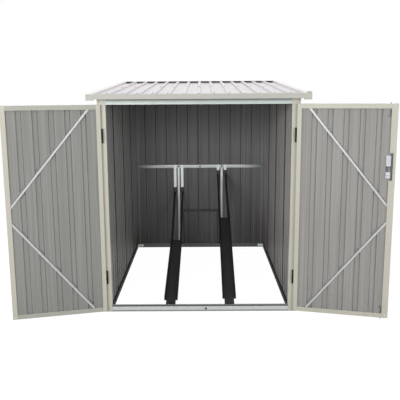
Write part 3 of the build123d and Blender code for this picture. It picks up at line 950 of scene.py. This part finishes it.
def flats(count, middle=0.0):
    """Middles of the flats between a wall's ribs, a count of them about a middle rib."""
    return [middle + (index - (count - 1) / 2) * WALL_RIBS[0] for index in range(count)]


def side_wall_middle():
    lowest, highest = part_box("side_wall_left")
    return (lowest.y + highest.y) / 2


def middle_height(name):
    lowest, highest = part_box(name)
    return (lowest.z + highest.z) / 2


def fasten_shell(finishes):
    """Screws of the walls, rails and posts, seen from outside and inside."""
    wall_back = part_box("rear_wall_left")[1].y - WALL_RIB_HEIGHT
    rail_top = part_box("top_rear_rail")[1].z
    outside = []
    inside = []
    for y in flats(SIDE_FLATS, side_wall_middle()):
        outside.append(spot(BODY_EDGE, y, BASE_SCREW_HEIGHT, ACROSS))
        along = (ROOF.inverted() @ Vector((0, y, ROOF_MIDDLE_HEIGHT))).y
        outside += moved([spot(BODY_EDGE, along, TOP_RAIL_LEVEL, ACROSS)], ROOF)
        inside.append(spot(OPENING_EDGE, y, INNER_SCREW_HEIGHT, (-1, 0, 0)))
    for z in POST_SCREW_HEIGHTS:
        outside.append(spot(BODY_EDGE, REAR_FACE - CORNER_SCREW_INSET, z, ACROSS))
        outside.append(spot(BODY_EDGE - CORNER_SCREW_INSET, REAR_FACE, z, REARWARD))
        outside.append(spot(POST_EDGE, FRAME_FRONT + POST_SCREW_INSET, z, ACROSS))
    outside = both_sides(outside)
    for x in flats(REAR_FLATS):
        outside.append(spot(x, REAR_FACE, BASE_SCREW_HEIGHT, REARWARD))
        outside.append(spot(x, REAR_FACE, rail_top - TOP_SCREW_DROP, REARWARD))
        outside.append(spot(x, wall_back, middle_height("rear_girt"), REARWARD))
    sealed = [finishes["zinc"], finishes["rubber"]]
    place_shapes("wall_screws", hex_screw(*WALL_SCREW), outside, sealed, "shelter")
    dull = [finishes["dull"], finishes["dull"]]
    inside = both_sides(inside)
    place_shapes("base_rail_screws", hex_screw(*RAIL_SCREW), inside, dull, "shelter")


def fasten_roof(finishes):
    """Screws with sealing washers on the rib crests, rivets along the edge trims, and the trim's end fold."""
    crests = [index * ROOF_RIBS[0] for index in range(-ROOF_RIBS_BESIDE, ROOF_RIBS_BESIDE + 1)]
    screws = [spot(x, along, CREST_LEVEL, UP) for along in ROOF_SCREW_ROWS for x in crests]
    sealed = [finishes["zinc"], finishes["rubber"]]
    shape = hex_screw(*ROOF_SCREW)
    place_shapes("roof_screws", shape, moved(screws, ROOF), sealed, "shelter")

    trim_line = ROOF_EDGE - TRIM_RIVET_INSET
    rivets = both_sides([spot(trim_line, along, TRIM_LEVEL, UP) for along in TRIM_RIVET_ROW])
    rivets += both_sides([spot(ROOF_EDGE, along, 0, ACROSS) for along in TRIM_RIVET_ROW])
    rivets += both_sides([spot(*CAP_RIVET, level, FORWARD) for level in CAP_RIVET_LEVELS])
    rivets += [spot(x, along, TRIM_LEVEL, UP) for along in END_RIVET_ROWS for x in crests[::2]]
    rivets = moved(rivets, ROOF)
    cream = [finishes["cream"]]
    place_shapes("trim_rivets", round_head(*TRIM_RIVET), rivets, cream, "shelter")

    model = bmesh.new()
    end = ROOF @ Matrix.Translation(TRIM_FOLD_PLACE)
    slab(model, end, TRIM_FOLD_SIZE, corner=0.003, segments=3)
    add_piece("trim_end_fold", model, [finishes["fascia"]], "shelter")


def fasten_rack(finishes):
    """Bolts of the girt, hangers, ramps, guard bars, tie frame and corner brackets, and the guards' clips."""
    girt_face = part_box("rear_girt")[0].y
    girt_height = middle_height("rear_girt")
    clip_face = HANGER_FACE - GUARD_CLIP[1]
    bolts = [spot(x, girt_face, girt_height, FORWARD) for x in (-RAMP_OFFSET, 0, RAMP_OFFSET)]
    foot_x, foot_y, foot_z = RAMP_FOOT_BOLT
    for name, side in SIDES.items():
        x = side * RAMP_OFFSET
        ramp = Matrix.Translation((x, *RAMP_ROOT)) @ Matrix.Rotation(RAMP_SLOPES[name], 4, "X")
        for edge in (-1, 1):
            hook = HOOK_HEIGHTS[name] + HOOK_BOLT_RISE
            bolts.append(spot(x + edge * HANGER_OFFSET, clip_face, hook, FORWARD))
            bolts.append(spot(x + edge * foot_x, foot_y, foot_z, UP))
            beside = (edge, 0, 0)
            on_ramp = [spot(edge * RAMP_EDGE, along, RAMP_BOLT_LEVEL, beside) for along in RAMP_BOLT_ROW]
            bolts += moved(on_ramp, ramp)
    foot_low, foot_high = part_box("tie_feet")
    for x in (foot_low.x + FOOT_BOLT_INSET, foot_high.x - FOOT_BOLT_INSET):
        bolts.append(spot(x, foot_low.y + FOOT_BOLT_INSET, foot_high.z, UP))
    inset, height = BRACKET_BOLT
    bracket_bolts = both_sides([
        spot(OPENING_EDGE - BRACKET_METAL, REAR_INNER - inset, height, (-1, 0, 0)),
        spot(OPENING_EDGE - inset, REAR_INNER - BRACKET_METAL, height, FORWARD),
    ])
    shape = hex_screw(*RACK_BOLT)
    dark = [finishes["dark"], finishes["dark"]]
    place_shapes("rack_dark_bolts", shape, bolts, dark, "shelter")
    bright = [finishes["zinc"], finishes["zinc"]]
    place_shapes("bracket_bolts", shape, bracket_bolts, bright, "shelter")

    for name, side in SIDES.items():
        model = bmesh.new()
        for edge in (-1, 1):
            hanger_x = side * RAMP_OFFSET + edge * HANGER_OFFSET
            middle = (hanger_x, HANGER_FACE - GUARD_CLIP[1] / 2, HOOK_HEIGHTS[name] + GUARD_CLIP_RISE)
            slab(model, Matrix.Translation(middle), GUARD_CLIP, corner=0.0012)
        add_piece(f"guard_clips_{name}", model, [finishes["dark"]], "shelter")


def fasten_doors(finishes):
    """Rivets of the door frames and braces, and the hinges' screws."""
    rivet = round_head(*DOOR_RIVET)
    hinge_screw = round_head(*HINGE_SCREW)
    cream = [finishes["cream"]]
    on_posts = both_sides([spot(*POST_HINGE_SCREW, z, FORWARD) for z in HINGE_SCREW_ROW])
    place_shapes("post_hinge_screws", hinge_screw, on_posts, cream, "shelter")
    for name, side in SIDES.items():
        rivets = []
        for z in (DOOR_LOW + DOOR_RAIL / 2, DOOR_HIGH - DOOR_RAIL / 2):
            for x in (FREE_EDGE + FREE_STILES[name] / 2, HINGE_EDGE - HINGE_STILE / 2):
                rivets.append(spot(x, DOOR_INNER, z, REARWARD))
                rivets.append(spot(x, DOOR_OUTER, z, FORWARD))
        for start, end in brace_lines(name):
            step = (end - start).normalized()
            for point in (start + step * BRACE_RIVET_INSETS[0], end - step * BRACE_RIVET_INSETS[1]):
                rivets.append(spot(point.x, BRACE_FACE, point.z, REARWARD))
        edge_screws = [spot(*EDGE_HINGE_SCREW, z, ACROSS) for z in HINGE_SCREW_ROW]
        body = f"{name}_door"
        place = mirrored_door_place(side)
        place_shapes(
            f"{name}_door_rivets", rivet, moved(rivets, place), [finishes["zinc"]], body
        )
        place_shapes(
            f"{name}_hinge_screws", hinge_screw, moved(edge_screws, place), cream, body
        )


def fit_lock_parts(finishes):
    """The small parts of the right door's lock, handle plate and bolts."""
    opened = door_place(SIDES["right"])

    model = bmesh.new()
    hook = Matrix.Translation(HOOK_PLACE)
    slab(model, hook @ Matrix.Rotation(HOOK_TILT, 4, "Y"), HOOK_ARM, corner=0.0015)
    slab(model, hook @ Matrix.Translation(HOOK_TOE_STEP), HOOK_TOE, corner=0.0015)
    for height in GUIDE_HEIGHTS:
        guide = Matrix.Translation((*GUIDE_PLACE, height))
        slab(model, guide, GUIDE_PLATE, corner=0.0006)
        slab(model, guide @ Matrix.Translation(GUIDE_BLOCK_STEP), GUIDE_BLOCK, corner=0.002)
    bmesh.ops.transform(model, matrix=opened, verts=model.verts)
    add_piece("lock_hook_and_guides", model, [finishes["dull"]], "right_door")

    # A dark sheet behind the lock, in its notch: painted shade
    model = bmesh.new()
    slab(model, Matrix.Translation(LOCK_SHADE_SHEET_PLACE), LOCK_SHADE_SHEET_SIZE, corner=0.0004, segments=1)
    bmesh.ops.transform(model, matrix=opened, verts=model.verts)
    add_piece("lock_shade_sheet", model, [finishes["shade_sheet"]], "right_door")

    screws = [spot(x, LOCK_FACE, z, REARWARD) for x, z in LOCK_SCREW_PLACES]
    for step in (-HANDLE_SCREW_STEP, HANDLE_SCREW_STEP):
        screws.append(spot(HANDLE_PLACE, HANDLE_FACE, LOCK_MIDDLE + step, FORWARD))
    screws = moved(screws, opened)
    zinc = [finishes["zinc"]]
    place_shapes("lock_screws", round_head(*LOCK_SCREW), screws, zinc, "right_door")

    cylinders = moved([
        spot(HANDLE_PLACE, HANDLE_FACE, CYLINDER_HEIGHTS["outside"], FORWARD),
        spot(LOCK_PLACE, LOCK_FACE, CYLINDER_HEIGHTS["inside"], REARWARD),
    ], opened)
    plates = [finishes["plate"], finishes["dull"]]
    place_shapes("lock_cylinders", lock_cylinder(), cylinders, plates, "right_door")


# Floor, sky, lamps and camera

def make_floor():
    """A pale floor that keeps the shelter's shadow and looks white to the camera."""
    model = bmesh.new()
    bmesh.ops.create_grid(model, x_segments=1, y_segments=1, size=40)
    floor = as_object("floor", as_mesh("floor", model))
    finish = Finish("floor_white", base_color=PALE_FLOOR, roughness=0.9, specular_ior_level=0.0)
    white = finish.node("ShaderNodeEmission", {}, {"Color": WHITE, "Strength": FLOOR_GLOW})
    pale = finish.node("ShaderNodeBsdfDiffuse", {}, {"Color": SEEN_FLOOR})
    bright = finish.node("ShaderNodeAddShader", {}, [white, pale])
    plain = Reading(finish, finish.shader.outputs[0])
    surface = finish.node("ShaderNodeMixShader", {}, [finish.plain_view(), plain, bright])
    finish.tree.links.new(surface.socket, finish.tree.nodes["Material Output"].inputs["Surface"])
    floor.data.materials.append(finish.material)


def make_world():
    """A soft, even sky that looks plain white behind the shelter."""
    world = bpy.data.worlds.new("studio")
    world.use_nodes = True
    bpy.context.scene.world = world
    shading = Shading(world.node_tree)
    soft = shading.node("ShaderNodeBackground", {}, {"Color": WHITE, "Strength": SKY_LIGHT})
    white = shading.node("ShaderNodeBackground", {}, {"Color": WHITE, "Strength": 1.0})
    sky = shading.node("ShaderNodeMixShader", {}, [shading.plain_view(), soft, white])
    shading.tree.links.new(sky.socket, shading.tree.nodes["World Output"].inputs["Surface"])


def lamp(name, place, target, size, power):
    """A soft rectangular lamp that points at a target."""
    light = bpy.data.lights.new(name, "AREA")
    light.shape = "RECTANGLE"
    light.size, light.size_y = size
    light.energy = power
    made = bpy.data.objects.new(name, light)
    made.location = place
    made.rotation_euler = (Vector(target) - Vector(place)).to_track_quat("-Z", "Y").to_euler()
    made.visible_camera = False
    bpy.context.scene.collection.objects.link(made)


def set_camera():
    """The photograph's viewing angle."""
    lens = bpy.data.cameras.new("camera")
    lens.lens = CAMERA_LENS
    lens.sensor_width = SENSOR_WIDTH
    camera = bpy.data.objects.new("camera", lens)
    turn = Matrix.Rotation(-CAMERA_YAW, 4, "Z") @ Matrix.Rotation(math.pi / 2 - CAMERA_PITCH, 4, "X")
    turn = turn @ Matrix.Rotation(CAMERA_ROLL, 4, "Z")
    camera.matrix_world = Matrix.Translation(CAMERA_PLACE) @ turn
    bpy.context.scene.collection.objects.link(camera)
    bpy.context.scene.camera = camera


# The scene

set_camera()
make_world()
make_floor()
for settings in LAMPS:
    lamp(*settings)

finishes = make_finishes()
paint_frame(finishes)
paint_rack(finishes)
paint_sheets()
paint_doors(finishes)
fasten_shell(finishes)
fasten_roof(finishes)
fasten_rack(finishes)
fasten_doors(finishes)
fit_lock_parts(finishes)
bpy.context.scene.view_settings.view_transform = "Standard"
